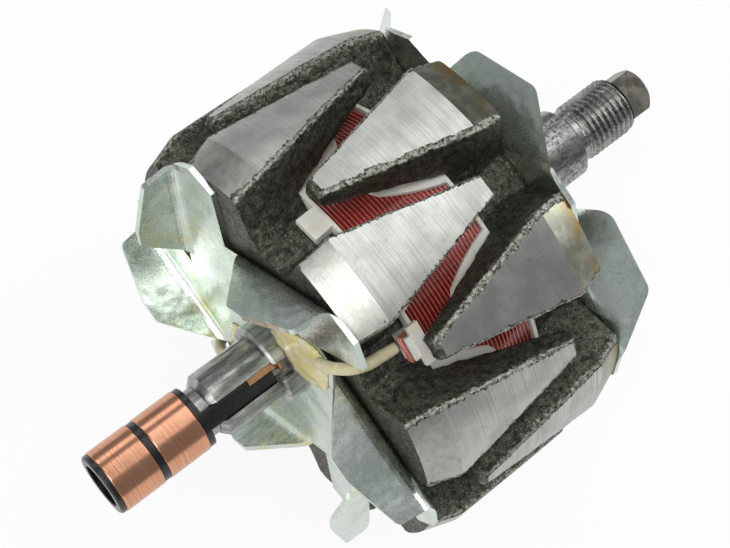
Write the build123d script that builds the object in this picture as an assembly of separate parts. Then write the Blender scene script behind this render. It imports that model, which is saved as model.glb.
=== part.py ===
from build123d import *
from math import cos, radians, sin, tan
import os

os.makedirs("parts", exist_ok=True)

# Claw-pole rotor of an automotive alternator, in mm.
# The shaft runs along X, with the threaded drive end towards +X and the slip rings towards -X.
# +Z is up. Lengths along the shaft are measured from the middle plane between the two pole halves,
# and the finished pieces are then moved so that the origin is the centre of the drive bearing seat.

# General clearances
slip_gap = 0.05  # press and push fits, drawn with this small gap
seat_gap = 0.15  # parts that lie against each other
loose_gap = 0.3  # parts that only lie near each other

# Pole halves
pole_r = 50.0  # turned outer radius of the claws
claws = 8  # claws on each half
claw_turn = 105.9  # angle of the first rear claw, from +Y towards +Z
face_end = 18.65  # where the turned face stops on the root side
pole_end = 25.6  # outer end face of a pole half
shoulder_drop = 2.5  # the chamfered root is this much lower at the end face
tip_reach = 13.9  # the claw passes the middle plane by this much
root_half = 9.45  # half width of the claw where the turned face stops
end_half = 8.4  # half width of the claw at the end face
tip_half = 1.6  # half width of the claw's tip
tip_thickness = 3.8  # thickness of the claw at its tip
root_thickness = 10.4  # thickness of the claw at the coil window
window_half = 12.4  # half length of the coil window
valley_depth = 17.0  # depth of the valley between two claws
hub_r = 21.5  # iron core inside the coil
tip_chamfer = 1.2

# Shaft
shaft_body_r = 8.75  # knurled middle part, pressed into the poles
drive_r = 8.5  # drive bearing seat, 17 mm bore
drive_end = 56.0  # outer end of the seat
drive_seat_length = 14.0  # from the shoulder that the bearing meets
rear_r = 7.5  # rear bearing seat, 15 mm bore
rear_seat_start = 46.2  # outer end of the rear seat
rear_chamfer = 1.4
collar_land_r = 7.75  # land under the rear collar
neck_r = 5.6  # short neck between rear seat and collector
neck_end = 48.5
spigot_r = 4.0  # carries the collector moulding
spigot_end = 68.0
thread_r = 7.0  # M14 thread, drawn at its major size
relief_r = 6.6
relief_length = 2.0
thread_end = 72.0
hex_flats = 10.0
hex_end = 78.8
edge_chamfer = 0.6

# Rear collar, pressed against the rear fan
collar_r = 9.6
collar_length = 4.4
collar_web = 1.3  # unslotted ring next to the fan

# Collector
ring_r = 7.25  # outside of both slip rings
ring_wall = 1.3
outer_ring_start = 71.2
outer_ring_end = 61.6
inner_ring_start = 60.0
inner_ring_end = 50.0
moulding_r = 7.05  # moulding beside the rings, and the tops of its legs
moulding_start = 72.4
moulding_end = 48.6
cup_r = 5.0  # open end of the moulding
cup_depth = 3.2
leg_width = 4.2  # legs that carry the conductors under the bearing
leg_inner_r = 5.75
leg_end = 31.6
lead_turn = 22.5  # valley that the first lead uses, from the first rear claw
lead_count = 2

# Coil and bobbin
coil_clearance = 1.6  # between the winding and the claws
bobbin_wall = 0.8
petal_wall = 0.8
petal_reach = 2.0  # petals pass the middle plane by this much
petal_half = 9.5  # half width where a petal leaves the flange
petal_waist = 6.5  # half width in the middle of a petal
petal_tip_half = 3.4
tab_width = 5.8  # tabs that lock the bobbin in the valleys
tab_length = 4.2
tab_fall = 2.6  # a tab slopes down from the flange by this much
post_width = 5.0  # posts that anchor the ends of the winding
post_length = 3.2
head_width = 8.8
head_length = 2.6
head_wall = 1.2
head_overhang = 0.6  # the head reaches over the coil by this much
wrap_height = 1.8  # turns of wire on the post
wrap_wall = 0.7

# Leads at the rear fan
sleeve_r = 1.3
sleeve_edge_turn = -8.0  # where the sleeve crosses the edge of the fan, from its post
strip_wall = 0.5
strip_width = 1.4
strip_start = 37.2
resin_drop = 5.5  # a resin patch ends this far inside the bend lines of the rear fan
resin_height = 1.7
resin_start_turn = -48.0  # the patch covers these angles at the collar, from its post
resin_end_turn = 22.0

# Fans, both pressed from sheet with six blades
fan_sheet = 1.2
fan_blades = 6
rear_fan_turn = 9.4  # foot of the first rear blade, from the first rear claw
rear_crease_drop = 3.0  # the bend lines lie this far inside the valleys of the pole half
rear_bend = 3.0
rear_lean = 0.0  # lean of a blade away from the axis, in degrees
rear_corner = 1.5  # rounding of a blade's corners
rear_blade = [(4.5, 0.0), (18.5, 11.4), (24.0, 11.4), (37.2, 8.0), (38.4, 0.0)]
rear_lobe_start = 0.0
rear_lobe = [(24.0, 43.2), (17.0, 42.2), (14.8, 25.7)]
front_fan_turn = 21.0
front_crease_rise = 1.0  # and these this far outside them
front_bend = 5.0
front_lean = 42.0
front_corner = 4.5
front_blade = [(-3.7, 0.0), (2.9, 12.1), (21.9, 11.8), (33.8, 0.0)]
front_lobe_start = -3.7
front_lobe = [(28.0, 39.0), (20.0, 39.0), (15.0, 29.5)]

# Derived places
shoulder_r = pole_r - shoulder_drop
tip_under_r = pole_r - tip_thickness
root_under_r = pole_r - root_thickness
valley_r = pole_r - valley_depth
rear_crease = valley_r - rear_crease_drop
resin_r = rear_crease - resin_drop
front_crease = valley_r + front_crease_rise
coil_r = root_under_r - coil_clearance
flange_r = coil_r + seat_gap + petal_wall
post_top_r = flange_r + loose_gap + wrap_height + seat_gap + head_wall
drive_seat_start = drive_end - drive_seat_length
drive_seat_mid = drive_end - drive_seat_length / 2
to_origin = Location((-drive_seat_mid, 0, 0))
claw_step = 360 / claws
rear_fan_face = pole_end + fan_sheet
collar_end = rear_fan_face + collar_length
ring_bore_r = ring_r - ring_wall


def spin(shape, angle):
    return Rot(angle - 90, 0, 0) * shape


def turned(points):
    outline = make_face(Polyline(*points, close=True))
    return revolve(outline, Axis.X)


def tube(start, end, outer, inner):
    return turned([(start, inner), (end, inner), (end, outer), (start, outer)])


def radial_block(x_low, x_high, half, low_r, high_r):
    block = Box(x_high - x_low, 2 * half, high_r - low_r)
    return Pos((x_low + x_high) / 2, 0, (low_r + high_r) / 2) * block


def side_prism(points, half):
    outline = make_face(Polyline(*points, close=True))
    return extrude(Plane.XZ * outline, half, both=True)


def plan_prism(points, low_r, high_r):
    both = points + [(x, -y) for x, y in reversed(points)]
    outline = make_face(Polyline(*both, close=True))
    return Pos(0, 0, low_r) * extrude(outline, high_r - low_r)


def along_shaft(angle, x, r):
    return (x, r * cos(radians(angle)), r * sin(radians(angle)))


# A pole half, drawn with its root towards +X and a claw straight up
def pole_half():
    ring = turned([
        (pole_end, shaft_body_r + slip_gap),
        (pole_end, shoulder_r),
        (face_end, pole_r),
        (-tip_reach + tip_chamfer, pole_r),
        (-tip_reach, pole_r - tip_chamfer),
        (-tip_reach, tip_under_r),
        (window_half, root_under_r),
        (window_half, hub_r),
        (seat_gap / 2, hub_r),
        (seat_gap / 2, shaft_body_r + slip_gap),
    ])
    mask = Pos(pole_end / 2, 0, 0) * Rot(0, 90, 0) * Cylinder(valley_r, pole_end)
    claw = plan_prism(
        [(pole_end, end_half), (face_end, root_half), (-tip_reach, tip_half)],
        valley_r - 6,
        pole_r + 1,
    )
    for n in range(claws):
        mask += Rot(n * claw_step, 0, 0) * claw
    return ring & mask


half = pole_half()
front_pole = spin(half, claw_turn + claw_step / 2)
rear_pole = spin(Rot(0, 0, 180) * half, claw_turn)

# Shaft
shaft = turned([
    (-spigot_end, 0),
    (-spigot_end, spigot_r),
    (-neck_end, spigot_r),
    (-neck_end, neck_r),
    (-rear_seat_start, neck_r),
    (-rear_seat_start, rear_r - rear_chamfer),
    (-rear_seat_start + rear_chamfer, rear_r),
    (-collar_end, rear_r),
    (-collar_end, collar_land_r),
    (-rear_fan_face, collar_land_r),
    (-rear_fan_face, shaft_body_r),
    (drive_seat_start, shaft_body_r),
    (drive_seat_start, drive_r),
    (drive_end - edge_chamfer, drive_r),
    (drive_end, drive_r - edge_chamfer),
    (drive_end, relief_r),
    (drive_end + relief_length, relief_r),
    (drive_end + relief_length + thread_r - relief_r, thread_r),
    (thread_end - edge_chamfer, thread_r),
    (thread_end, thread_r - edge_chamfer),
    (thread_end, 0),
])
hexagon = Plane.YZ * RegularPolygon(hex_flats / 2, 6, major_radius=False)
hex_tip = Pos(thread_end, 0, 0) * extrude(hexagon, hex_end - thread_end)
hex_round = turned([
    (thread_end - 1, 0),
    (thread_end - 1, thread_r),
    (hex_end - 2, thread_r),
    (hex_end, hex_flats / 2 - 0.3),
    (hex_end, 0),
])
shaft += hex_tip & hex_round
for n in range(lead_count):
    slot = radial_block(
        -neck_end, -collar_end + 1.5, leg_width / 2 + seat_gap, leg_inner_r - seat_gap, rear_r + 1
    )
    shaft -= spin(slot, claw_turn + lead_turn + n * 180)

# Rear collar, with a notch over each lead
rear_collar = tube(-collar_end, -rear_fan_face - slip_gap, collar_r, collar_land_r + slip_gap)
rear_collar = chamfer(rear_collar.edges().group_by(Axis.X)[0].sort_by(SortBy.LENGTH)[-1], edge_chamfer)
for n in range(lead_count):
    notch = radial_block(
        -collar_end - 1, -rear_fan_face - collar_web, leg_width / 2, rear_r - 1, collar_r + 1
    )
    rear_collar -= spin(notch, claw_turn + lead_turn + n * 180)

# Collector moulding and its two rings
collector_moulding = turned([
    (-moulding_start + cup_depth, 0),
    (-moulding_start + cup_depth, cup_r),
    (-moulding_start, cup_r),
    (-moulding_start, moulding_r - 0.4),
    (-moulding_start + 0.4, moulding_r),
    (-outer_ring_start - slip_gap, moulding_r),
    (-outer_ring_start - slip_gap, ring_bore_r - slip_gap),
    (-outer_ring_end + slip_gap, ring_bore_r - slip_gap),
    (-outer_ring_end + slip_gap, moulding_r),
    (-inner_ring_start - slip_gap, moulding_r),
    (-inner_ring_start - slip_gap, ring_bore_r - slip_gap),
    (-inner_ring_end + slip_gap, ring_bore_r - slip_gap),
    (-inner_ring_end + slip_gap, moulding_r),
    (-moulding_end, moulding_r),
    (-moulding_end, spigot_r + slip_gap),
    (-spigot_end - slip_gap, spigot_r + slip_gap),
    (-spigot_end - slip_gap, 0),
])
strip_offset = leg_width / 2 - strip_width / 2
leg_curve = Pos(-(moulding_end + leg_end) / 2, 0, 0) * Rot(0, 90, 0) * Cylinder(moulding_r, moulding_start)
for n in range(lead_count):
    leg = radial_block(-moulding_end - 0.5, -leg_end, leg_width / 2, leg_inner_r, moulding_r + 1)
    step = Pos(0, strip_offset, 0) * radial_block(
        -strip_start - seat_gap,
        -leg_end + 1,
        strip_width / 2 + seat_gap,
        moulding_r - strip_wall - seat_gap,
        moulding_r + 1,
    )
    collector_moulding += spin((leg & leg_curve) - step, claw_turn + lead_turn + n * 180)
outer_slip_ring = tube(-outer_ring_start, -outer_ring_end, ring_r, ring_bore_r)
inner_slip_ring = tube(-inner_ring_start, -inner_ring_end, ring_r, ring_bore_r)

# Bobbin, one nylon moulding around the iron core
bobbin_x = window_half - seat_gap
bobbin = tube(-bobbin_x, bobbin_x, hub_r + slip_gap + bobbin_wall, hub_r + slip_gap)
bobbin += tube(-bobbin_x, -bobbin_x + bobbin_wall, flange_r, hub_r + slip_gap)
bobbin += tube(bobbin_x - bobbin_wall, bobbin_x, flange_r, hub_r + slip_gap)
petal_edge = Spline(
    (bobbin_x, petal_half), (bobbin_x / 3, petal_waist), (1 - petal_reach, petal_tip_half)
)
petal_tip = Polyline(
    (1 - petal_reach, petal_tip_half),
    (-petal_reach, petal_tip_half / 2),
    (-petal_reach, -petal_tip_half / 2),
    (1 - petal_reach, -petal_tip_half),
)
petal_foot = Line((bobbin_x, -petal_half), (bobbin_x, petal_half))
petal_plan = make_face([petal_edge, petal_tip, mirror(petal_edge, Plane.XZ), petal_foot])
petal_block = extrude(petal_plan, pole_r, dir=(0, 0, 1))
petal_band = tube(-petal_reach, bobbin_x - bobbin_wall / 2, flange_r - slip_gap, coil_r + seat_gap)
petal = petal_band & petal_block
for n in range(claws):
    bobbin += spin(petal, claw_turn + (n + 0.5) * claw_step)
    bobbin += spin(Rot(0, 0, 180) * petal, claw_turn + n * claw_step)
for n in range(lead_count):
    tab_points = [
        (-bobbin_x + bobbin_wall / 2, valley_r + loose_gap),
        (-bobbin_x + bobbin_wall / 2, flange_r),
        (-bobbin_x - tab_length, flange_r - tab_fall),
        (-bobbin_x - tab_length, valley_r + loose_gap),
    ]
    tab = side_prism(tab_points, tab_width / 2)
    bobbin += spin(tab, claw_turn - claw_step / 2 + n * 180)
    post = radial_block(
        -bobbin_x - post_length,
        -bobbin_x + bobbin_wall / 2,
        post_width / 2,
        valley_r + loose_gap,
        post_top_r - head_wall / 2,
    )
    head = radial_block(
        -bobbin_x + head_overhang - head_length,
        -bobbin_x + head_overhang,
        head_width / 2,
        post_top_r - head_wall,
        post_top_r,
    )
    bobbin += spin(post + head, claw_turn + lead_turn + n * 180)

# Field winding between the flanges
coil_x = bobbin_x - bobbin_wall - seat_gap
field_winding = tube(-coil_x, coil_x, coil_r, hub_r + 2 * slip_gap + bobbin_wall)


# Fans, drawn with the blades towards +X; a blade's bend line runs along +Y at a distance along +Z
def fan(crease, bend, lean, blade, corner, lobe_start, lobe, bore):
    edge = [(crease, lobe_start), (crease, blade[-1][0])]
    lobe_points = [(0, 0)] + [(-s, n) for n, s in edge + lobe]
    wide = 3 * crease
    sheet = Plane.YZ * make_face(Polyline(*lobe_points, close=True))
    plate = extrude(sheet, fan_sheet)
    rise = 90 - lean
    tall = max(h for s, h in blade) + 6
    bend_start = crease - bend * tan(radians(rise / 2))
    centre_x = fan_sheet / 2 + bend
    outer_bend = bend + fan_sheet / 2
    inner_bend = bend - fan_sheet / 2
    turn_out = []
    turn_in = []
    steps = 6
    for k in range(steps + 1):
        a = radians(rise * k / steps)
        turn_out.append((centre_x - outer_bend * cos(a), bend_start + outer_bend * sin(a)))
        turn_in.append((centre_x - inner_bend * cos(a), bend_start + inner_bend * sin(a)))
    a = radians(rise)
    top_out = (turn_out[-1][0] + tall * sin(a), turn_out[-1][1] + tall * cos(a))
    top_in = (turn_in[-1][0] + tall * sin(a), turn_in[-1][1] + tall * cos(a))
    start = [(fan_sheet, bend_start - 1), (0, bend_start - 1)]
    section = start + turn_out + [top_out, top_in] + turn_in[::-1]
    wall = Plane.XZ * make_face(Polyline(*section, close=True))
    wall = extrude(wall, wide, both=True)
    side = [(fan_sheet / 2 + h * cos(radians(lean)), -s) for s, h in blade]
    first = (-1, side[0][1])
    last = (-1, side[-1][1])
    window = make_face(Polyline(*([first] + side + [last]), close=True))
    window = fillet(window.vertices().filter_by(lambda v: v.X > 2 * fan_sheet), corner)
    window = extrude(Plane.XY * window, wide)
    upper = Box(wide, 2 * wide, wide, align=(Align.CENTER, Align.CENTER, Align.MIN))
    low = Pos(0, 0, bend_start - fan_sheet / 2) * upper
    flat = plate - low
    panel = wall & window & low
    joined = flat + panel + (plate & low & wall)
    whole = joined
    for k in range(1, fan_blades):
        whole += Rot(k * 360 / fan_blades, 0, 0) * joined
    return whole - Rot(0, 90, 0) * Cylinder(bore, crease)


fan_bore = shaft_body_r + slip_gap
front_fan = fan(
    front_crease, front_bend, front_lean, front_blade, front_corner, front_lobe_start, front_lobe, fan_bore
)
front_fan = spin(Pos(pole_end + slip_gap, 0, 0) * front_fan, claw_turn + front_fan_turn)
rear_fan = fan(
    rear_crease, rear_bend, rear_lean, rear_blade, rear_corner, rear_lobe_start, rear_lobe, fan_bore
)
rear_fan = mirror(rear_fan, Plane.YZ)
rear_fan = spin(Pos(-pole_end - slip_gap, 0, 0) * rear_fan, claw_turn + rear_fan_turn)

# Outline of a resin patch, seen along the shaft with its post straight up
resin_points = [
    (collar_r / 2, resin_start_turn),
    (collar_r + loose_gap, resin_start_turn),
    (resin_r - 5, sleeve_edge_turn - 16),
    (resin_r, sleeve_edge_turn - 2),
    (resin_r, sleeve_edge_turn + 6),
    (resin_r - 6, resin_end_turn),
    (collar_r / 2, resin_end_turn),
]
resin_outline = [(-r * sin(radians(turn)), r * cos(radians(turn))) for r, turn in resin_points]
resin_plan = Plane.YZ * make_face(Polyline(*resin_outline, close=True))
resin_shape = extrude(resin_plan, rear_fan_face + resin_height, dir=(-1, 0, 0))

# Leads: wire wound on a post, a sleeve over the rear fan, a patch of resin and a strip along a leg
wrap_end = bobbin_x + post_length + seat_gap + wrap_wall
over_fan = rear_fan_face + slip_gap + sleeve_r + seat_gap
valley_line = valley_r + sleeve_r + loose_gap
sleeve_places = [
    (wrap_end + 0.4, flange_r - 1.6, -1.5),
    (wrap_end + 2.5, flange_r - 1.9, -1.8),
    (pole_end - 2.5, valley_line + 0.9, -2.8),
    (pole_end + 0.6, valley_line - 0.2, -5.0),
    (over_fan - 0.4, rear_crease + sleeve_r, sleeve_edge_turn),
    (over_fan, rear_crease - 2, sleeve_edge_turn - 0.5),
    (over_fan, resin_r + 0.3, sleeve_edge_turn - 1),
]
leads = {}
for n, side in enumerate(("a", "b")):
    angle = claw_turn + lead_turn + n * 180
    sleeve_path = Spline(*[along_shaft(angle + turn, -x, r) for x, r, turn in sleeve_places])
    sleeve_end = Plane(origin=sleeve_path @ 0, z_dir=sleeve_path % 0)
    leads["lead_sleeve_" + side] = sweep(sleeve_end * Circle(sleeve_r), path=sleeve_path)

    strip = radial_block(
        -strip_start, -collar_end + 1.2, strip_width / 2, moulding_r - strip_wall, moulding_r
    )
    strip += radial_block(
        -collar_end + 0.7, -collar_end + 1.2, strip_width / 2, moulding_r - strip_wall, collar_r
    )
    strip = Pos(0, strip_offset, 0) * strip
    leads["ring_conductor_" + side] = spin(strip, angle)

    patch = tube(
        -rear_fan_face - resin_height, -rear_fan_face - seat_gap, resin_r + 1, collar_r + loose_gap
    )
    patch &= spin(resin_shape, angle)
    leads["lead_resin_" + side] = patch
    wrap = radial_block(
        -bobbin_x - post_length - seat_gap - wrap_wall,
        -bobbin_x - 0.1,
        post_width / 2 + seat_gap + wrap_wall,
        flange_r + loose_gap,
        flange_r + loose_gap + wrap_height,
    )
    wrap -= radial_block(
        -bobbin_x - post_length - seat_gap,
        window_half,
        post_width / 2 + seat_gap,
        valley_r,
        pole_r,
    )
    leads["lead_wrap_" + side] = spin(wrap, angle)

pieces = {
    "shaft": shaft,
    "front_pole": front_pole,
    "rear_pole": rear_pole,
    "field_winding": field_winding,
    "bobbin": bobbin,
    "front_fan": front_fan,
    "rear_fan": rear_fan,
    "rear_collar": rear_collar,
    "collector_moulding": collector_moulding,
    "outer_slip_ring": outer_slip_ring,
    "inner_slip_ring": inner_slip_ring,
}
pieces.update(leads)

for name, shape in pieces.items():
    export_step(to_origin * shape, "parts/" + name + ".step")
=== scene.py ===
import math
import bmesh
import bpy
import numpy as np
from mathutils import Matrix, Vector, noise

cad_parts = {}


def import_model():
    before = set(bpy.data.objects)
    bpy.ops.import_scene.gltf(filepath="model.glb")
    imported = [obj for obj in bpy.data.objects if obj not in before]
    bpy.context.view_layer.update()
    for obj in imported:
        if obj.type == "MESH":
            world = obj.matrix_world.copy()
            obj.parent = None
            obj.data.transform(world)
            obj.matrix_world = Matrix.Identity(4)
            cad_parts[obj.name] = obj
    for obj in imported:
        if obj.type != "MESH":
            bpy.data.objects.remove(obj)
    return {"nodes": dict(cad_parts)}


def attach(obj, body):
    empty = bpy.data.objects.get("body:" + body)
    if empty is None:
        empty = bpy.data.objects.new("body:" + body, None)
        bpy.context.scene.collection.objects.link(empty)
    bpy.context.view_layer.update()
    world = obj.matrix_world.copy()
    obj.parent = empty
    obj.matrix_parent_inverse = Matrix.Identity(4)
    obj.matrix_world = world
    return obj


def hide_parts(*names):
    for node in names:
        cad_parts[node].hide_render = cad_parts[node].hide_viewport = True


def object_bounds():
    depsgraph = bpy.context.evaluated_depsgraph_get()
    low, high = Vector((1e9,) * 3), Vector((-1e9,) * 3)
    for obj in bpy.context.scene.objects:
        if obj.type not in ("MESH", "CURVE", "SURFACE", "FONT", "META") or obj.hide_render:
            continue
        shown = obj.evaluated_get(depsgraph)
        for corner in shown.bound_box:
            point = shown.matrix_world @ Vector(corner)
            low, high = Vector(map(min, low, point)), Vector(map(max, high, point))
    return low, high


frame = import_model()
cad_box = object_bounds()

# Everything below is in metres; lengths on the rotor are given in mm and turned into metres by MM.
MM = 0.001
MID = -0.049  # the middle plane between the two pole halves
TURN = 105.9  # angle of the first rear claw, in degrees about +X
PITCH, HALF_PITCH = 45.0, 22.5  # from a claw to the next one of its pole half, and half of that
POLE_R = 50.0
COIL_R = 38.0
FACE_GAP = 0.02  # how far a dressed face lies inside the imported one
SIDES = ("a", "b")


def world(x, r, angle):
    a = math.radians(angle)
    return Vector((MID + x * MM, r * MM * math.cos(a), r * MM * math.sin(a)))


def new_object(name, verts, faces):
    mesh = bpy.data.meshes.new(name)
    mesh.from_pydata([tuple(v) for v in verts], [], [tuple(f) for f in faces])
    mesh.update()
    for p in mesh.polygons:
        p.use_smooth = True
    obj = bpy.data.objects.new(name, mesh)
    bpy.context.scene.collection.objects.link(obj)
    return obj


def ring_points(x, r, around):
    return [world(x, r, 360 * j / around) for j in range(around)]


def ring_quads(first, second, around, flip=False):
    """Quads between two rings of points, each given by the index at which it begins."""
    faces = []
    for j in range(around):
        k = (j + 1) % around
        a, b, c, d = first + j, first + k, second + k, second + j
        faces.append((a, d, c, b) if flip else (a, b, c, d))
    return faces


def copy_node(node, name):
    source = frame["nodes"][node]
    obj = bpy.data.objects.new(name, source.data.copy())
    bpy.context.scene.collection.objects.link(obj)
    obj.matrix_world = source.matrix_world.copy()
    return obj


def settle(obj, material, node):
    obj.data.materials.clear()
    obj.data.materials.append(material)
    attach(obj, "root")
    if node:
        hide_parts(node)


def mm_coords(obj):
    """The places of the vertices in mm, with x from the middle plane."""
    co = np.empty(len(obj.data.vertices) * 3)
    obj.data.vertices.foreach_get("co", co)
    co = co.reshape(-1, 3) * 1000
    co[:, 0] -= MID * 1000
    return co


def set_mm_coords(obj, co):
    place = co.copy()
    place[:, 0] += MID * 1000
    obj.data.vertices.foreach_set("co", (place / 1000).ravel())
    obj.data.update()


def normals(obj):
    n = len(obj.data.vertices)
    no = np.empty(n * 3)
    obj.data.vertex_normals.foreach_get("vector", no)
    return no.reshape(n, 3)


def fractal(points, scale, octaves=3, offset=0.0):
    out = np.zeros(len(points))
    for i, p in enumerate(points):
        v = Vector(p) * scale + Vector((offset, offset, offset))
        out[i] = noise.fractal(v, 0.7, 2.1, octaves)
    return out


def put(tree, socket, value):
    """Link a socket to another one, or give it a plain value."""
    if hasattr(value, "links"):
        tree.links.new(value, socket)
    else:
        socket.default_value = value


def math_node(tree, op, a, b=0.0):
    node = tree.nodes.new("ShaderNodeMath")
    node.operation = op
    put(tree, node.inputs[0], a)
    put(tree, node.inputs[1], b)
    return node.outputs[0]


# Materials: lengths in their nodes are in mm, and noise scales are per mm

class Shader:
    """A node material with the mm position, the radius and the angle ready for use."""

    def __init__(self, name):
        self.mat = bpy.data.materials.new(name)
        self.mat.use_nodes = True
        self.tree = self.mat.node_tree
        self.bsdf = next(n for n in self.tree.nodes if n.type == "BSDF_PRINCIPLED")
        place = self.add("ShaderNodeTexCoord").outputs["Object"]
        from_middle = self.vmath("SUBTRACT", place, (MID, 0, 0))
        self.pos = self.vmath("MULTIPLY", from_middle, (1000, 1000, 1000))
        xyz = self.add("ShaderNodeSeparateXYZ")
        self.tree.links.new(self.pos, xyz.inputs[0])
        self.x, y, z = xyz.outputs
        self.flat = self.vmath("MULTIPLY", self.pos, (0, 1, 1))
        self.r = self.vmath("LENGTH", self.flat)
        self.angle = self.math("ARCTAN2", z, y)

    def add(self, kind, **props):
        node = self.tree.nodes.new(kind)
        for key, value in props.items():
            setattr(node, key, value)
        return node

    def put(self, socket, value):
        put(self.tree, socket, value)

    def math(self, op, a, b=0.0):
        return math_node(self.tree, op, a, b)

    def times(self, a, b):
        return self.math("MULTIPLY", a, b)

    def plus(self, a, b):
        return self.math("ADD", a, b)

    def weigh(self, share, a, b):
        """That share of a, and the rest of b."""
        rest = self.math("SUBTRACT", 1.0, share)
        return self.plus(self.times(share, a), self.times(rest, b))

    def vmath(self, op, a, b=None):
        node = self.add("ShaderNodeVectorMath", operation=op)
        self.put(node.inputs[0], a)
        if b is not None:
            self.put(node.inputs[1], b)
        return node.outputs["Value"] if op == "LENGTH" else node.outputs[0]

    def stretched(self, along, around, third=None):
        """A vector of x and angle, each scaled on its own, for streaks along or around the rotor."""
        third = self.r if third is None else third
        return self.vector(self.times(self.x, along), self.times(self.angle, around), third)

    def vector(self, x, y, z):
        node = self.add("ShaderNodeCombineXYZ")
        for socket, value in zip(node.inputs, (x, y, z)):
            self.put(socket, value)
        return node.outputs[0]

    def noise(self, vector, scale, detail=3.0, rough=0.55):
        node = self.add("ShaderNodeTexNoise")
        self.put(node.inputs["Vector"], vector)
        node.inputs["Scale"].default_value = scale
        node.inputs["Detail"].default_value = detail
        node.inputs["Roughness"].default_value = rough
        return node.outputs["Fac"]

    def voronoi(self, vector, scale):
        node = self.add("ShaderNodeTexVoronoi")
        self.put(node.inputs["Vector"], vector)
        node.inputs["Scale"].default_value = scale
        return node.outputs["Distance"]

    def ramp(self, value, low, high, out_low=0.0, out_high=1.0):
        node = self.add("ShaderNodeMapRange", interpolation_type="SMOOTHSTEP")
        for socket, v in zip(node.inputs, (value, low, high, out_low, out_high)):
            self.put(socket, v)
        return node.outputs[0]

    def mix(self, factor, a, b):
        node = self.add("ShaderNodeMix", data_type="RGBA")
        self.put(node.inputs[0], factor)
        self.put(node.inputs[6], a)
        self.put(node.inputs[7], b)
        return node.outputs[2]

    def bump(self, height):
        node = self.add("ShaderNodeBump")
        node.inputs["Strength"].default_value = 1.0
        node.inputs["Distance"].default_value = MM
        self.put(node.inputs["Height"], height)
        return node.outputs[0]

    def finish(self, **sockets):
        for key, value in sockets.items():
            self.put(self.bsdf.inputs[key.replace("_", " ")], value)
        return self.mat


def rgb(r, g, b):
    return (r, g, b, 1.0)


def shade(colour, share):
    return rgb(*[c * share for c in colour])


def turned_lines(s, per_mm, around=2.0):
    return s.noise(s.stretched(per_mm, around), 1.0, 2.0)


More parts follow.
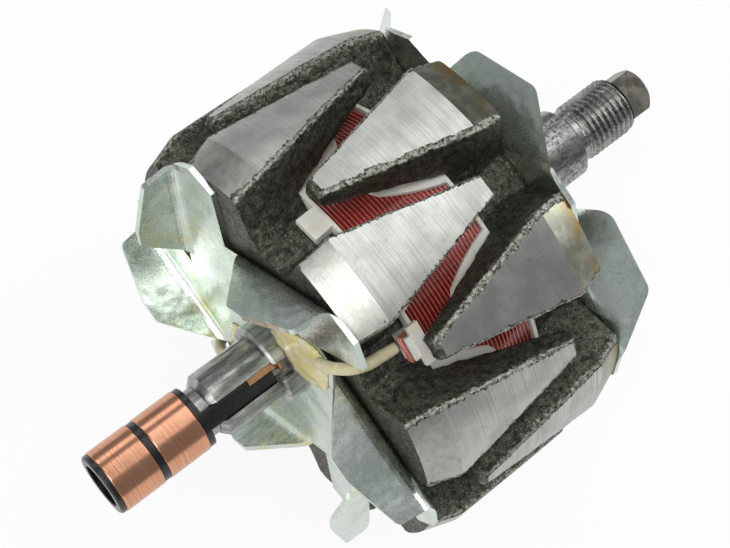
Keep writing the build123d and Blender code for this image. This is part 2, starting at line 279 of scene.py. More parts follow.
def pole_material(name, front):
    """Bright turned faces, olive shoulder slopes and a dark forged skin, as the layer "skin" says."""
    s = Shader(name)
    skin = s.add("ShaderNodeAttribute", attribute_name="skin")
    split = s.add("ShaderNodeSeparateColor")
    s.tree.links.new(skin.outputs["Color"], split.inputs[0])
    turned, slope, rim = split.outputs[0], split.outputs[1], split.outputs[2]
    smooth = s.math("MAXIMUM", turned, slope)
    patch = s.noise(s.pos, 0.16, 4.0)
    blotch = s.noise(s.pos, 0.33, 5.0, 0.65)
    lines = turned_lines(s, 3.6, 2.2)
    grain = s.noise(s.pos, 2.6, 5.0, 0.75)
    coarse = s.noise(s.pos, 0.75, 4.0, 0.65)
    along = s.noise(s.vmath("MULTIPLY", s.pos, (0.35, 1.6, 1.6)), 1.0, 4.0, 0.7)
    across = s.noise(s.stretched(2.8, 9.0), 1.0, 4.0, 0.7)

    bright = s.mix(s.ramp(patch, 0.35, 0.65), rgb(0.42, 0.425, 0.395), rgb(0.55, 0.555, 0.52))
    bright = s.mix(s.ramp(lines, 0.42, 0.72, 0.0, 0.55), bright, rgb(0.28, 0.28, 0.265))
    bright = s.mix(s.ramp(blotch, 0.58, 0.74, 0.0, 0.45), bright, rgb(0.22, 0.22, 0.20))
    if front:
        olive = s.mix(s.ramp(blotch, 0.4, 0.65), rgb(0.20, 0.205, 0.155), rgb(0.32, 0.325, 0.265))
        edge = s.ramp(s.plus(s.x, s.times(blotch, 4.0)), 23.5, 27.2)
        rust = s.times(edge, s.ramp(patch, 0.40, 0.62))
        olive = s.mix(rust, olive, rgb(0.27, 0.185, 0.07))
    else:
        mottle = s.plus(blotch, s.noise(s.pos, 0.8, 5.0, 0.7))
        olive = s.mix(s.ramp(mottle, 0.70, 1.30), rgb(0.33, 0.335, 0.30), rgb(0.46, 0.465, 0.43))
        stain = s.ramp(s.noise(s.pos, 0.45, 3.0), 0.62, 0.75, 0.0, 0.4)
        olive = s.mix(stain, olive, rgb(0.40, 0.33, 0.18))
    dark = s.mix(s.ramp(coarse, 0.3, 0.72), rgb(0.026, 0.027, 0.020), rgb(0.140, 0.144, 0.112))
    dark = s.mix(s.ramp(across, 0.50, 0.66, 0.0, 0.75), dark, rgb(0.022, 0.022, 0.018))
    dark = s.mix(s.ramp(along, 0.56, 0.70, 0.0, 0.55), dark, rgb(0.26, 0.265, 0.215))
    spark = s.ramp(grain, 0.57, 0.66)
    dark = s.mix(s.times(spark, 0.75), dark, rgb(0.50, 0.50, 0.44))
    chip = s.plus(s.times(rim, 0.20), s.noise(s.pos, 1.5, 5.0, 0.75))
    fleck = s.times(s.ramp(chip, 0.54, 0.76), s.ramp(rim, 0.05, 0.5, 0.0, 0.85))
    dark = s.mix(fleck, dark, rgb(0.52, 0.525, 0.46))
    colour = s.mix(slope, s.mix(turned, dark, bright), olive)

    rough_smooth = s.plus(s.ramp(lines, 0.3, 0.7, 0.25, 0.33), s.times(blotch, 0.08))
    rough_forged = s.ramp(grain, 0.35, 0.65, 0.60, 0.34)
    ridge_pitch = 0.27
    wave = s.plus(s.times(s.x, 2 * math.pi / ridge_pitch), s.times(patch, 3.0))
    fine = s.plus(s.times(s.math("SINE", wave), 0.0035), s.times(lines, 0.012))
    pits = s.plus(s.times(grain, 0.16), s.times(s.plus(coarse, across), 0.12))
    return s.finish(
        Base_Color=colour, Metallic=s.ramp(smooth, 0.0, 1.0, 0.80, 1.0),
        Roughness=s.weigh(smooth, rough_smooth, rough_forged),
        Normal=s.bump(s.weigh(smooth, fine, pits)),
        Anisotropic=s.times(turned, 0.65), Tangent=s.vmath("CROSS_PRODUCT", (1, 0, 0), s.flat))


def steel_material(name, colour=(0.44, 0.44, 0.42), rough=0.2):
    s = Shader(name)
    lines = turned_lines(s, 6.0)
    patch = s.noise(s.pos, 0.35, 3.0)
    streak = s.noise(s.stretched(0.12, 5.0, 0.0), 1.0, 3.0, 0.65)
    scratch = s.noise(s.stretched(0.5, 34.0), 1.0, 3.0)
    base = s.mix(s.ramp(patch, 0.35, 0.7), rgb(*colour), shade(colour, 0.7))
    base = s.mix(s.ramp(streak, 0.42, 0.62, 0.0, 0.8), base, shade(colour, 0.36))
    base = s.mix(s.ramp(lines, 0.45, 0.75, 0.0, 0.4), base, shade(colour, 0.5))
    # Dark scuffs on the drive bearing's seat
    seat = s.times(s.ramp(s.x, 46.0, 49.0), s.ramp(s.x, 57.0, 54.0))
    scuff = s.times(s.ramp(s.noise(s.pos, 1.4, 4.0, 0.7), 0.50, 0.62), seat)
    base = s.mix(s.times(scuff, 0.85), base, rgb(0.06, 0.06, 0.055))
    # The hexagonal tip beyond the thread is dull and brownish
    dull = s.mix(s.ramp(patch, 0.35, 0.65), rgb(0.10, 0.095, 0.08), rgb(0.20, 0.19, 0.16))
    base = s.mix(s.ramp(s.x, 71.6, 72.2), base, dull)
    height = s.plus(s.times(lines, 0.01), s.times(scratch, 0.008))
    rougher = s.ramp(s.plus(patch, s.times(scuff, 0.5)), 0.3, 0.9, rough, rough + 0.2)
    return s.finish(Base_Color=base, Metallic=1.0, Roughness=rougher, Normal=s.bump(height))


def zinc_material(name):
    s = Shader(name)
    cloud = s.noise(s.pos, 0.07, 3.0)
    grain = s.noise(s.pos, 1.9, 5.0, 0.7)
    spangle = s.voronoi(s.pos, 0.7)
    streak = s.noise(s.vmath("MULTIPLY", s.pos, (0.5, 0.25, 1.0)), 0.4, 4.0, 0.6)
    crease = s.times(s.ramp(s.r, 27.0, 30.5), s.ramp(s.r, 36.0, 32.0))
    base = s.mix(s.ramp(cloud, 0.38, 0.62), rgb(0.62, 0.70, 0.62), rgb(0.74, 0.80, 0.75))
    yellow = s.math("MAXIMUM", s.ramp(streak, 0.60, 0.76, 0.0, 0.5),
                    s.times(crease, s.ramp(streak, 0.42, 0.62, 0.0, 0.7)))
    base = s.mix(yellow, base, rgb(0.66, 0.63, 0.36))
    base = s.mix(s.ramp(grain, 0.58, 0.8, 0.0, 0.15), base, rgb(0.80, 0.84, 0.82))
    base = s.mix(s.ramp(spangle, 0.25, 0.6, 0.07, 0.0), base, rgb(0.50, 0.55, 0.54))
    height = s.plus(s.times(grain, 0.002), s.times(cloud, 0.9))
    rough = s.ramp(grain, 0.3, 0.7, 0.24, 0.34)
    return s.finish(Base_Color=base, Metallic=1.0, Roughness=rough, Normal=s.bump(height))


def copper_material(name):
    s = Shader(name)
    lines = turned_lines(s, 8.0, 0.12)
    broad = turned_lines(s, 1.6, 0.15)
    base = s.mix(s.ramp(lines, 0.35, 0.7), rgb(0.72, 0.37, 0.235), rgb(0.58, 0.27, 0.155))
    base = s.mix(s.ramp(broad, 0.5, 0.8, 0.0, 0.35), base, rgb(0.80, 0.48, 0.33))
    rough = s.ramp(lines, 0.3, 0.7, 0.16, 0.26)
    return s.finish(Base_Color=base, Metallic=1.0, Roughness=rough,
                    Normal=s.bump(s.times(lines, 0.014)))


def enamel_material(name):
    s = Shader(name)
    patch = s.noise(s.pos, 0.35, 2.0)
    # Painted shade: the grooves between neighbouring turns are darkened to near black where the radius
    # drops below the crests
    gap = s.ramp(s.r, COIL_R - 0.36, COIL_R - 0.10)
    base = s.mix(s.ramp(patch, 0.3, 0.7), rgb(0.27, 0.010, 0.006), rgb(0.42, 0.022, 0.012))
    base = s.mix(gap, rgb(0.012, 0.002, 0.002), base)
    # Painted highlight: the crests of the turns are tinted pale pink to stand in for the narrow
    # reflection along each wire
    crest = s.ramp(s.r, COIL_R - 0.055, COIL_R - 0.022, 0.0, 0.75)
    base = s.mix(crest, base, rgb(0.88, 0.30, 0.22))
    return s.finish(Base_Color=base, Metallic=0.35, Roughness=s.ramp(patch, 0.3, 0.7, 0.16, 0.22),
                    Coat_Weight=1.0, Coat_Roughness=0.06)


def plastic_material(name, colour, rough, tint, tint_scale=0.2, sub=0.0):
    s = Shader(name)
    grain = s.noise(s.pos, 3.0, 4.0)
    cloud = s.noise(s.pos, tint_scale, 3.0)
    base = s.mix(s.ramp(cloud, 0.45, 0.7), rgb(*colour), rgb(*tint))
    return s.finish(Base_Color=base, Roughness=s.ramp(grain, 0.3, 0.7, rough, rough + 0.12),
                    Normal=s.bump(s.times(grain, 0.02)),
                    Subsurface_Weight=sub, Subsurface_Scale=0.002)


# Pole halves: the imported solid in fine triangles, with turned faces, a forged skin and ragged rims

# Along a claw, from the middle plane towards its own plate: its tip, its shoulder and the end face
TIP_X, SHOULDER_X, END_X = -13.9, 18.65, 25.6
SHOULDER_R = 47.5
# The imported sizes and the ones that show: half widths of a claw at those three places, and the valley
HALF_THEN, HALF_NOW = (1.6, 9.45, 8.4), (2.1, 9.9, 9.1)
VALLEY_THEN, VALLEY_R = 33.0, 36.5
TAPER = 0.241  # half width that a claw loses per mm from its shoulder towards its tip
RIM_R, RIM_REACH = 46.2, 2.0  # where the cells are finest: beyond this radius and this near an edge
OUTER_R = 30.0  # cells within this radius stay as they are packed


def near_rim(co, claw_angle, hand):
    r = math.hypot(co.y, co.z) * 1000
    if r < RIM_R:
        return False
    along = (co.x - MID) * 1000 * hand
    half = HALF_THEN[1] - max(SHOULDER_X - along, 0.0) * TAPER
    turn = math.degrees(math.atan2(co.z, co.y)) - claw_angle
    off = (turn + HALF_PITCH) % PITCH - HALF_PITCH
    return abs(half - abs(r * math.sin(math.radians(off)))) < RIM_REACH


def cut_fine(obj, cell, rim_cell, claw_angle, hand):
    bm = bmesh.new()
    bm.from_mesh(obj.data)
    bmesh.ops.remove_doubles(bm, verts=bm.verts, dist=1e-6)
    bmesh.ops.triangulate(bm, faces=bm.faces)
    most_rounds, flat = 10, 0.005
    for _ in range(most_rounds):
        outer = set(v for v in bm.verts if math.hypot(v.co.y, v.co.z) > OUTER_R * MM)
        rims = set(v for v in outer if near_rim(v.co, claw_angle, hand))
        long = []
        for e in bm.edges:
            size = e.calc_length()
            a, b = e.verts
            long_outer = size > cell and (a in outer or b in outer)
            long_rim = size > rim_cell and a in rims and b in rims
            if long_outer or long_rim:
                long.append(e)
        if not long:
            break
        bmesh.ops.subdivide_edges(bm, edges=long, cuts=1)
        bmesh.ops.triangulate(bm, faces=[f for f in bm.faces if len(f.verts) > 3])
    bmesh.ops.beautify_fill(bm, faces=bm.faces, edges=[
        e for e in bm.edges if len(e.link_faces) == 2 and e.calc_face_angle() < flat])
    bm.to_mesh(obj.data)
    bm.free()


def edge_angle(half, r):
    """The angle from a claw's middle to its edge, held back near the hub, where there is no claw."""
    hub_r, most = 12.0, 0.36
    return np.arcsin(np.clip(half / np.maximum(r, hub_r), 0.0, most))


def rim_band(front, number, off):
    """How wide the ragged rim is on each claw, with off as the angle from the claw's middle."""
    if not front:
        return np.where(number == 0, 0.4, 1.05)
    band = np.where(off > 0, 1.5, 1.2)
    band = np.where((number == 0) & (off < 0), 1.6, band)
    band = np.where((number == 0) & (off > 0), 0.8, band)
    return np.where((number == 7) & (off < 0), 0.7, band)


def paint_skin(mesh, on_face, on_slope, rim):
    """The colour layer that the material reads, and sharp edges between its zones."""
    loops = np.empty(len(mesh.loops), dtype=np.int32)
    mesh.loops.foreach_get("vertex_index", loops)
    tris = loops.reshape(-1, 3)
    is_face = on_face[tris].all(axis=1)
    is_slope = on_slope[tris].all(axis=1) & ~is_face
    colour = np.ones((len(loops), 4))
    colour[:, 0] = np.repeat(is_face, 3)
    colour[:, 1] = np.repeat(is_slope, 3)
    colour[:, 2] = rim[loops]
    layer = mesh.color_attributes.new("skin", "FLOAT_COLOR", "CORNER")
    layer.data.foreach_set("color", colour.ravel())
    mesh.polygons.foreach_set("use_smooth", [True] * len(mesh.polygons))
    zone = is_face * 1 + is_slope * 2
    bm = bmesh.new()
    bm.from_mesh(mesh)
    for e in bm.edges:
        if len(e.link_faces) == 2 and zone[e.link_faces[0].index] != zone[e.link_faces[1].index]:
            e.smooth = False
    bm.to_mesh(mesh)
    bm.free()


def forged_pole(node, claw_angle, seed):
    obj = copy_node(node, node + "_forging")
    front = node == "front_pole"
    hand = 1.0 if front else -1.0
    cell, rim_cell = ((1.35, 0.62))
    cut_fine(obj, cell * MM, rim_cell * MM, claw_angle, hand)
    co = mm_coords(obj)
    along = co[:, 0] * hand
    r = np.hypot(co[:, 1], co[:, 2])
    angle = np.arctan2(co[:, 2], co[:, 1])
    turn = np.degrees(angle) - claw_angle
    off = np.radians((turn + HALF_PITCH) % PITCH - HALF_PITCH)
    middle = angle - off

    # The claws are a little wider, and the valleys shallower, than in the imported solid
    stations = (TIP_X, SHOULDER_X, END_X)
    half = np.interp(along, stations, HALF_NOW)
    edge_then = edge_angle(np.interp(along, stations, HALF_THEN), r)
    edge_now = edge_angle(half, r)
    limit = math.radians(HALF_PITCH)
    size = np.abs(off)
    inside = size * edge_now / edge_then
    outside = edge_now + (size - edge_then) * (limit - edge_now) / (limit - edge_then)
    wide = np.where(size < edge_then, inside, outside)
    wide = np.where(r > 25.0, wide, size)
    lift = np.interp(r, (20.0, VALLEY_THEN, 39.6), (0.0, VALLEY_R - VALLEY_THEN, 0.0))
    lift *= np.clip(size / edge_then, 0.0, 1.0) * (along > 12.0)
    r = r + lift
    off = np.sign(off) * wide
    co[:, 1] = r * np.cos(middle + off)
    co[:, 2] = r * np.sin(middle + off)
    set_mm_coords(obj, co)
    no = normals(obj)
    crown = np.interp(along, (SHOULDER_X, END_X), (POLE_R, SHOULDER_R))
    on_face = (np.abs(r - POLE_R) < 0.08) & (along < SHOULDER_X + 0.1)
    on_slope = (np.abs(r - crown) < 0.12) & (along > SHOULDER_X - 0.1)

    # Ragged rims: wide on the front claws, narrower on the rear ones, and narrowest on rear claw 0
    number = np.round(turn / PITCH) % 8
    vary = 1.0 + 0.55 * fractal(co, 0.35, 2, seed + 40)
    band = rim_band(front, number, off) * np.clip(vary, 0.4, 1.8)
    inset = np.maximum(half - np.abs(r * np.sin(off)), 0.0)
    depth = np.hypot(np.maximum(crown - r, 0.0), inset)
    rim = np.clip(1.0 - depth / (band * 1.25), 0.0, 1.0)
    bevel = band * 0.62
    worn = (on_face | on_slope) & (inset < bevel)
    drop = np.where(worn, (bevel - inset) * 0.55, 0.0)
    on_face &= ~worn
    on_slope &= ~worn

    # The forged skin is pushed in and out along its normals, and the turned faces stay true
    skin = np.where(r > 20.0, 1.0, 0.2)
    rough = 0.24 * fractal(co, 0.20, 2, seed) + 0.20 * fractal(co, 0.75, 3, seed + 9)
    near_end = np.clip((END_X - 0.3 - along) / 0.6, 0.1, 1.0)
    calm = 1.0 - 0.7 * rim
    burr_reach = np.minimum(band * 0.26, 0.42) * np.minimum(rim * 2.0, 1.0)
    burr = burr_reach * fractal(co, 1.1, 3, seed + 21)
    amount = np.where(on_face | on_slope, 0.0, rough * skin * near_end * calm + burr)
    amount = np.where(np.abs(along - SHOULDER_X) < 0.2, amount * 0.5, amount)
    co += no * amount[:, None]
    co[:, 1:] *= ((r - drop) / np.maximum(r, 1e-6))[:, None]
    angle = np.arctan2(co[:, 2], co[:, 1])
    cap = crown - FACE_GAP
    kept_r = np.minimum(np.hypot(co[:, 1], co[:, 2]), cap)
    kept_r = np.where(on_face, POLE_R - FACE_GAP, np.where(on_slope, cap, kept_r))
    co[:, 1] = kept_r * np.cos(angle)
    co[:, 2] = kept_r * np.sin(angle)
    co[:, 0] = np.clip(co[:, 0], -END_X, END_X)
    set_mm_coords(obj, co)
    paint_skin(obj.data, on_face, on_slope, rim)
    return obj


rear_pole = forged_pole("rear_pole", TURN, 3.0)
settle(rear_pole, pole_material("rear_forging", False), "rear_pole")
front_pole = forged_pole("front_pole", TURN + HALF_PITCH, 57.0)
settle(front_pole, pole_material("front_forging", True), "front_pole")


# Field winding: the outer layer's helix of enamelled wire, drawn as a ridged skin

def winding():
    turns, rows_per_turn = 25, 9
    around = 150
    half, inner_r = 11.2, 23.0
    wire = 2 * half / turns
    rows = turns * rows_per_turn + 1
    verts, faces = [], []
    for i in range(rows):
        u = i / rows_per_turn
        for j in range(around):
            phase = (u - j / around) % 1.0
            bulge = math.sqrt(max(0.0, 1 - (2 * phase - 1) ** 2))
            r = COIL_R - wire / 2 * (1 - bulge) - FACE_GAP
            verts.append(world(-half + u * wire, r, 360 * j / around))
    for i in range(rows - 1):
        faces += ring_quads(i * around, (i + 1) * around, around)
    last, inner = (rows - 1) * around, rows * around
    verts += ring_points(-half, inner_r, around) + ring_points(half, inner_r, around)
    faces += ring_quads(0, inner, around, flip=True)
    faces += ring_quads(last, inner + around, around)
    faces += ring_quads(inner, inner + around, around, flip=True)
    return new_object("wire_turns", verts, faces)


enamel = enamel_material("red_enamel")
settle(winding(), enamel, "field_winding")


# Shaft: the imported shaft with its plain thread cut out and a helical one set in

THREAD_START, THREAD_END = 58.0, 71.9


def cut_shaft():
    obj = copy_node("shaft", "shaft_ground")
    bm = bmesh.new()
    bm.from_mesh(obj.data)
    start, stop = MID + THREAD_START * MM, MID + THREAD_END * MM
    near = 1e-6
    for x in (start, stop):
        geom = bm.verts[:] + bm.edges[:] + bm.faces[:]
        bmesh.ops.bisect_plane(bm, geom=geom, plane_co=(x, 0, 0), plane_no=(1, 0, 0))
    gone = [f for f in bm.faces if start < f.calc_center_median().x < stop
            and all(start - near < v.co.x < stop + near for v in f.verts)]
    bmesh.ops.delete(bm, geom=gone, context="FACES")
    bm.to_mesh(obj.data)
    bm.free()
    return obj


def helical_thread():
    pitch, minor_r, major_r, start_r = 1.5, 6.12, 6.98, 6.6
    step, around = 0.1, 72
    rows = int((THREAD_END - THREAD_START) / step) + 1
    verts, faces = [], []
    for i in range(rows):
        x = THREAD_START + step * i
        done, left = x - THREAD_START, THREAD_END - x
        low = minor_r + (start_r - minor_r) * max(0.0, 1 - done)
        crest = low + (major_r - low) * max(0.0, min(1.0, done / 1.8, left + 0.25))
        for j in range(around):
            phase = (done / pitch - j / around) % 1.0
            flank = 1 - abs(2 * phase - 1)
            h = min(max((flank - 0.12) / 0.74, 0.0), 1.0)
            verts.append(world(x, low + (crest - low) * h, 360 * j / around))
    for i in range(rows - 1):
        faces += ring_quads(i * around, (i + 1) * around, around)
    # Both ends are closed inwards, out of sight in the shaft
    for row, r_in in ((0, 4.0), (rows - 1, 2.0)):
        base = len(verts)
        verts += ring_points(THREAD_START + step * row, r_in, around)
        faces += ring_quads(row * around, base, around, flip=row == 0)
    return new_object("drive_thread", verts, faces)


steel = steel_material("ground_shaft")
shaft_piece = cut_shaft()
thread_piece = helical_thread()
settle(shaft_piece, steel, "shaft")
cut_steel = steel_material("cut_thread", (0.42, 0.42, 0.40), 0.2)
settle(thread_piece, cut_steel, None)


# Slip rings: turned copper with fine grooves and a small edge radius

def slip_ring(node, x_low, x_high, seed):
    r_out, r_in, edge = 7.25, 5.95, 0.22
    gap, groove_depth = 0.005, 0.018
    steps, around = 90, 96
    profile = [(x_low, r_in)]
    for i in range(steps + 1):
        x = x_low + (x_high - x_low) * i / steps
        end = min(x - x_low, x_high - x)
        drop = edge - math.sqrt(max(0.0, edge ** 2 - max(0.0, edge - end) ** 2))
        groove = groove_depth * (0.5 + 0.5 * noise.noise(Vector((x * 6.0, seed, 0.0))))
        profile.append((x, r_out - gap - drop - groove))
    profile.append((x_high, r_in))
    verts, faces = [], []
    for i, (x, r) in enumerate(profile):
        verts += ring_points(x, r, around)
        faces += ring_quads(i * around, (i + 1) % len(profile) * around, around)
    return new_object(node + "_turned", verts, faces)


copper = copper_material("ring_copper")
settle(slip_ring("outer_slip_ring", -71.2, -61.6, 2.0), copper, "outer_slip_ring")
settle(slip_ring("inner_slip_ring", -60.0, -50.0, 8.0), copper, "inner_slip_ring")

# Bobbin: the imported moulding, with its tabs and posts fitted to the shallower valleys

def bobbin_piece():
    obj = copy_node("bobbin", "bobbin_moulding")
    co = mm_coords(obj)
    x = co[:, 0]
    r = np.hypot(co[:, 1], co[:, 2])
    turn = (np.degrees(np.arctan2(co[:, 2], co[:, 1])) - TURN + HALF_PITCH) % 180.0
    beyond_flange = x < -12.45
    on_tab = beyond_flange & ((turn < 9.0) | (turn > 171.0))
    low = beyond_flange & (r > 33.0) & (r < 35.5)
    tab_rise, tab_start, tab_length = 1.7, -12.2, 4.2
    rise = np.where(on_tab, tab_rise * np.clip((tab_start - x) / tab_length, 0.0, 1.0), 0.0)
    r_new = np.where(low, VALLEY_R + 0.3, r + rise)
    co[:, 1:] *= (r_new / np.maximum(r, 1e-6))[:, None]
    set_mm_coords(obj, co)
    return obj


nylon = plastic_material("white_nylon", (0.78, 0.77, 0.70), 0.38, (0.66, 0.62, 0.48), 0.1, 0.15)
settle(bobbin_piece(), nylon, "bobbin")


# Lead sleeves: soft tubes from the post over the fan's rim to where the resin takes over

def tube_along(name, places, radii):
    around, per_gap = 20, 10
    path, sizes = [], []
    for i in range(len(places) - 1):
        p0, p1 = places[max(i - 1, 0)], places[i]
        p2, p3 = places[i + 1], places[min(i + 2, len(places) - 1)]
        for k in range(per_gap):
            t = k / per_gap
            straight = 2 * p1 + (p2 - p0) * t
            bend = (2 * p0 - 5 * p1 + 4 * p2 - p3) * t * t
            sway = (3 * p1 - 3 * p2 + p3 - p0) * t ** 3
            path.append(0.5 * (straight + bend + sway))
            sizes.append(radii[i] + (radii[i + 1] - radii[i]) * t)
    path.append(places[-1])
    sizes.append(radii[-1])
    verts, faces = [], []
    normal = Vector((0.3, 0.5, 1.0))
    for i, p in enumerate(path):
        ahead = (path[min(i + 1, len(path) - 1)] - path[max(i - 1, 0)]).normalized()
        normal = (normal - ahead * normal.dot(ahead)).normalized()
        across = ahead.cross(normal)
        for j in range(around):
            a = 2 * math.pi * j / around
            wobble = 1.0 + 0.04 * noise.noise(p * 400 + Vector((j * 0.3, 0, 0)))
            out = normal * math.cos(a) + across * math.sin(a)
            verts.append(p + out * sizes[i] * MM * wobble)
    for i in range(len(path) - 1):
        faces += ring_quads(i * around, (i + 1) * around, around)
    faces.append(tuple(range(around - 1, -1, -1)))
    faces.append(tuple((len(path) - 1) * around + j for j in range(around)))
    return new_object(name, verts, faces)


def resin_patch(name, angle, seed):
    """A patch of resin on the rear fan: a domed top, a flat back and a skirt between them."""
    outline = [(10.2, -48), (14.0, -40), (20.5, -25), (26.6, -14), (28.6, -9), (27.0, -4),
               (22.0, 8), (19.0, 18), (10.2, 22)]
    hub_r, least_reach = 9.9, 10.3
    top_x, back_x = -26.95, -26.92
    steps, rings = 8, 12
    rim = []
    for (r0, turn0), (r1, turn1) in zip(outline, outline[1:]):
        for k in range(steps):
            t = k / steps
            rim.append((r0 * (1 - t) + r1 * t, turn0 * (1 - t) + turn1 * t))
    rim.append(outline[-1])
    count = len(rim)
    verts, faces = [], []
    for i in range(rings + 1):
        t = i / rings
        for j, (reach, turn) in enumerate(rim):
            inner = 0 < j < count - 1
            ragged = 1.0 + 0.05 * noise.noise(Vector((j * 0.35, seed, 0))) if inner else 1.0
            r = hub_r + (max(reach * ragged, least_reach) - hub_r) * t
            side = min(1.0, 3.5 * min(j, count - 1 - j) / count)
            crown = math.sqrt(max(0.0, 1.0 - t ** 4)) * (0.25 + 0.75 * side)
            lump = 0.75 + 0.35 * noise.noise(Vector((r * 0.22, turn * 0.08, seed)))
            high = 0.12 + 1.25 * crown * lump
            verts.append(world(top_x - high, r, angle + turn))
    back = len(verts)
    verts += [Vector((MID + back_x * MM, v.y, v.z)) for v in verts]
    for i in range(rings):
        a, b = i * count, (i + 1) * count
        for j in range(count - 1):
            faces.append((a + j, a + j + 1, b + j + 1, b + j))
            faces.append((back + a + j, back + b + j, back + b + j + 1, back + a + j + 1))
        faces.append((a, b, back + b, back + a))
        c, d = a + count - 1, b + count - 1
        faces.append((c, back + c, back + d, d))
    for j in range(count - 1):
        a, b = j, rings * count + j
        faces.append((a, back + a, back + a + 1, a + 1))
        faces.append((b, b + 1, back + b + 1, back + b))
    return new_object(name, verts, faces)


def wire_loops(name, angle):
    """Five turns of wire round the sides and the top of a lead post."""
    corners = [(-12.35, 2.85), (-15.6, 2.85), (-15.9, 2.5),
               (-15.9, -2.5), (-15.6, -2.85), (-12.35, -2.85)]
    turns, around = 5, 8
    first_r, wire_pitch, climb = 39.55, 0.36, 0.16
    out_size, r_size = 0.21, 0.2
    side_from = 2.6
    verts, faces = [], []
    for turn in range(turns):
        r = first_r + wire_pitch * turn
        grow = 0.05 * math.sin(turn * 2.1)
        base = len(verts)
        for n, (x, side) in enumerate(corners):
            tilt = climb * (n / 5.0)
            on_side = abs(side) > side_from
            for j in range(around):
                a = 2 * math.pi * j / around
                out = out_size * math.cos(a)
                x_now = x - (0 if on_side else out) - grow
                side_now = side + (math.copysign(out, side) if on_side else 0)
                turned = angle + math.degrees(side_now / r)
                verts.append(world(x_now, r + r_size * math.sin(a) + tilt, turned))
        for n in range(len(corners) - 1):
            faces += ring_quads(base + n * around, base + (n + 1) * around, around, flip=True)
        last = base + (len(corners) - 1) * around
        faces.append(tuple(base + j for j in range(around)))
        faces.append(tuple(last + around - 1 - j for j in range(around)))
    return new_object(name, verts, faces)


sleeve_finish = plastic_material(
    "cream_sleeving", (0.60, 0.54, 0.33), 0.36, (0.70, 0.66, 0.46), 0.6, 0.1)
resin_finish = plastic_material(
    "amber_resin", (0.66, 0.58, 0.26), 0.10, (0.74, 0.70, 0.52), 0.25, 0.2)
# Along a sleeve: x and radius in mm, and the turn from the middle of its post
sleeve_places = [(-16.5, 38.6, -1.5), (-18.8, 38.4, -1.8), (-23.1, 38.8, -2.8),
                 (-26.5, 38.2, -4.6), (-28.4, 34.6, -6.5), (-28.4, 28.8, -8.0)]
sleeve_radii = (1.1, 1.25, 1.3, 1.3, 1.25, 1.3)
for n, side in enumerate(SIDES):
    lead = TURN + HALF_PITCH + 180 * n
    places = [world(x, r, lead + turn) for x, r, turn in sleeve_places]
    sleeve = tube_along("sleeve_" + side, places, sleeve_radii)
    settle(sleeve, sleeve_finish, "lead_sleeve_" + side)
    resin = resin_patch("resin_" + side, lead, 3.0 + n)
    settle(resin, resin_finish, "lead_resin_" + side)
    loops = wire_loops("post_wire_" + side, lead)
    settle(loops, enamel, "lead_wrap_" + side)

# The other nodes keep their CAD shape and get their finish
finishes = {
    "rear_fan": zinc_material("rear_zinc"),
    "front_fan": zinc_material("front_zinc"),
    "rear_collar": steel_material("collar_steel", (0.50, 0.50, 0.47), 0.3),
    "collector_moulding": plastic_material(
        "black_plastic", (0.008, 0.008, 0.008), 0.2, (0.014, 0.014, 0.013)),
}
for side in SIDES:
    finishes["ring_conductor_" + side] = copper
for node, material in finishes.items():
    obj = frame["nodes"][node]
    obj.data.materials.clear()
    obj.data.materials.append(material)

# Floor and world: white where the camera looks, grey for the light that they give

WHITE = rgb(1, 1, 1)


def empty_tree(block):
    block.use_nodes = True
    block.node_tree.nodes.clear()
    return block.node_tree


def mix_shaders(tree, share, first, second, output):
    both = tree.nodes.new("ShaderNodeMixShader")
    for socket, value in zip(both.inputs, (share, first, second)):
        tree.links.new(value, socket)
    tree.links.new(both.outputs[0], tree.nodes.new(output).inputs[0])


floor_z, reach = cad_box[0][2], 3
corners = [(x * reach, y * reach, floor_z) for x, y in ((-1, -1), (1, -1), (1, 1), (-1, 1))]
floor_mesh = bpy.data.meshes.new("floor")
floor_mesh.from_pydata(corners, [], [(0, 1, 2, 3)])
floor = bpy.data.objects.new("floor", floor_mesh)
bpy.context.scene.collection.objects.link(floor)
floor_mat = bpy.data.materials.new("studio_floor")
tree = empty_tree(floor_mat)
paper = tree.nodes.new("ShaderNodeBsdfDiffuse")
paper.inputs["Color"].default_value = rgb(0.86, 0.86, 0.86)
glow = tree.nodes.new("ShaderNodeEmission")
glow.inputs["Color"].default_value = WHITE
rays = tree.nodes.new("ShaderNodeLightPath").outputs
mirrored_share, glow_share = 0.6, 0.9
mirrored = math_node(tree, "MULTIPLY", rays["Is Glossy Ray"], mirrored_share)
seen = math_node(tree, "MAXIMUM", rays["Is Camera Ray"], mirrored)
seen = math_node(tree, "MAXIMUM", seen, rays["Is Transmission Ray"])
share = math_node(tree, "MULTIPLY", seen, glow_share)
mix_shaders(tree, share, paper.outputs[0], glow.outputs[0], "ShaderNodeOutputMaterial")
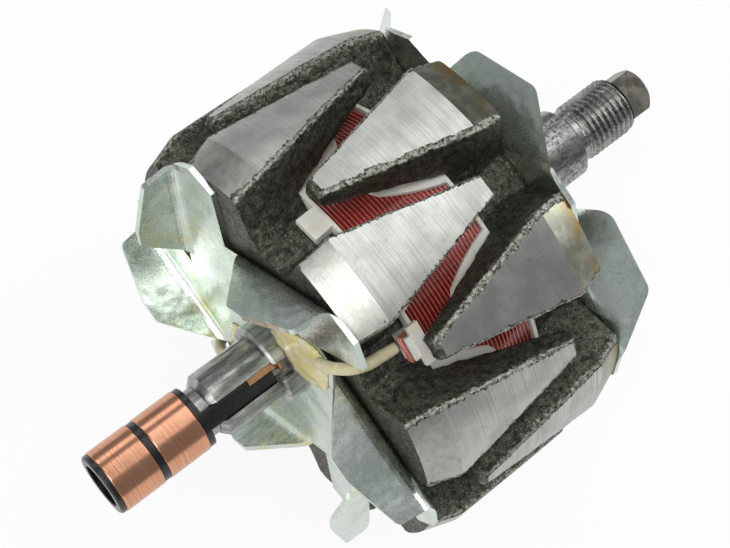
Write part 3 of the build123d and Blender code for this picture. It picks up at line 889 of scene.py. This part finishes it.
floor_mesh.materials.append(floor_mat)

scene = bpy.context.scene
scene.view_settings.view_transform = "Standard"
scene.world = bpy.data.worlds.new("studio")
tree = empty_tree(scene.world)
lit = tree.nodes.new("ShaderNodeBackground")
lit.inputs["Color"].default_value = rgb(0.9, 0.92, 0.95)
lit.inputs["Strength"].default_value = 0.30
white = tree.nodes.new("ShaderNodeBackground")
white.inputs["Color"].default_value = WHITE
white.inputs["Strength"].default_value = 1.0
rays = tree.nodes.new("ShaderNodeLightPath").outputs
mix_shaders(tree, rays["Is Camera Ray"], lit.outputs[0], white.outputs[0], "ShaderNodeOutputWorld")


# Lamps: each looks at the middle of the rotor, from a place given in metres from there


def area(name, place, size, energy):
    data = bpy.data.lights.new(name, "AREA")
    data.shape = "RECTANGLE"
    data.size, data.size_y = size
    data.energy = energy
    lamp = bpy.data.objects.new(name, data)
    bpy.context.scene.collection.objects.link(lamp)
    lamp.location = Vector((MID, 0, 0)) + Vector(place)
    lamp.rotation_euler = (-Vector(place)).to_track_quat("-Z", "Y").to_euler()


area("overhead", (0.26, 0.04, 0.75), (0.80, 0.42), 1.9)
area("behind_camera", (-0.34, -0.20, 0.82), (0.42, 0.42), 2.6)
area("far", (0.10, 0.70, 0.50), (0.80, 0.26), 0.9)
area("left", (-0.65, -0.05, 0.26), (0.45, 0.35), 1.5)
area("right", (0.60, -0.20, 0.28), (0.22, 0.34), 1.6)

# Camera, fitted to the photo with claws, rings and shaft ends as cues
camera_data = bpy.data.cameras.new("photo_camera")
camera_data.sensor_width = 36.0
camera_data.lens = 80.832
camera_data.clip_start = 0.01
camera = bpy.data.objects.new("photo_camera", camera_data)
bpy.context.scene.collection.objects.link(camera)
right = Vector((0.76240, -0.64521, 0.04942))
up = Vector((0.56524, 0.70119, 0.43456))
back = Vector((-0.31504, -0.30337, 0.89929))
facing = Matrix((right, up, back)).transposed()
stand = (-0.16071, -0.10439, 0.31787)
camera.matrix_world = Matrix.Translation(stand) @ facing.to_4x4()
scene.camera = camera
